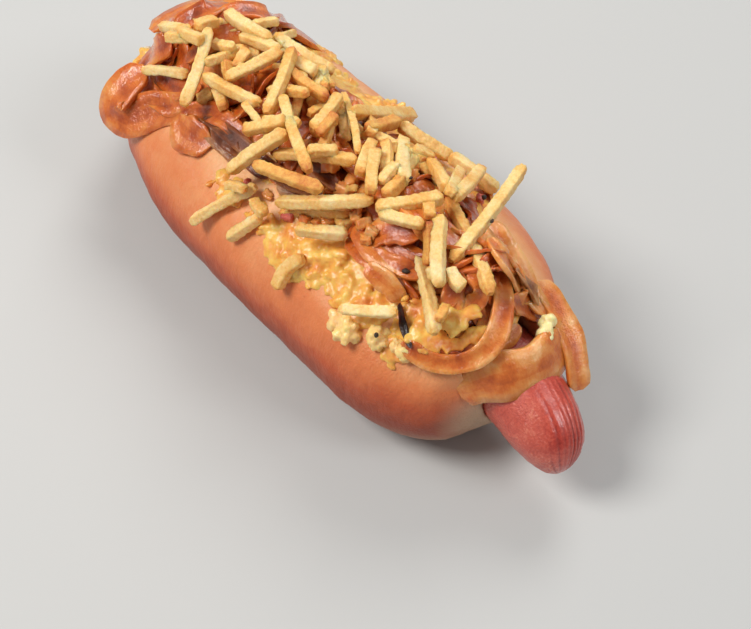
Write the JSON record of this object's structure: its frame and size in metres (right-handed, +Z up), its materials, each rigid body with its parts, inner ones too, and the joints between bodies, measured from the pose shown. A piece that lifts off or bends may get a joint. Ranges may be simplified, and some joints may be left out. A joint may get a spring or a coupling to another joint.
{
  "type": "hot dog",
  "caption": "Split milk bun holding a frankfurter whose gathered tip sticks out, topped with melted cheese, glossy caramelised onions and a tangle of fried potato sticks",
  "frame": {"origin": "the middle of the flat patch that the bun rests on", "axes": "+X along the bun towards the sausage's bare tip, +Y across the bun, +Z up"},
  "size_m": [0.1945, 0.08, 0.0658],
  "materials": {
    "crust": "baked milk-bun crust, satin",
    "casing": "moist cooked sausage casing, satin gloss",
    "cheese": "melted cheese, soft gloss",
    "onion": "caramelised onion, wet gloss",
    "fried_potato": "crisp fried potato, matt"
  },
  "bodies": {
    "root": {"bun": "crust", "sausage": "casing", "melted_cheese": "cheese", "onion_bed": "onion", "potato_sticks": "fried_potato", "onion_front_loop": "onion", "onion_saddle": "onion", "onion_side_upper": "onion", "onion_side_lower": "onion", "onion_far_fold": "onion", "onion_far_drape": "onion", "onion_flap": "onion", "onion_dark_strip": "onion", "onion_petal": "onion", "cheese_lump_large": "cheese", "cheese_lump_near": "cheese", "cheese_lump_small": "cheese", "cheese_lump_end": "cheese", "potato_stick_flank_far": "fried_potato", "potato_stick_flank_mid": "fried_potato", "potato_stick_flank_near": "fried_potato", "potato_stick_cheese": "fried_potato", "potato_stick_overhang": "fried_potato", "potato_stick_front": "fried_potato"}
  },
  "joints": []
}
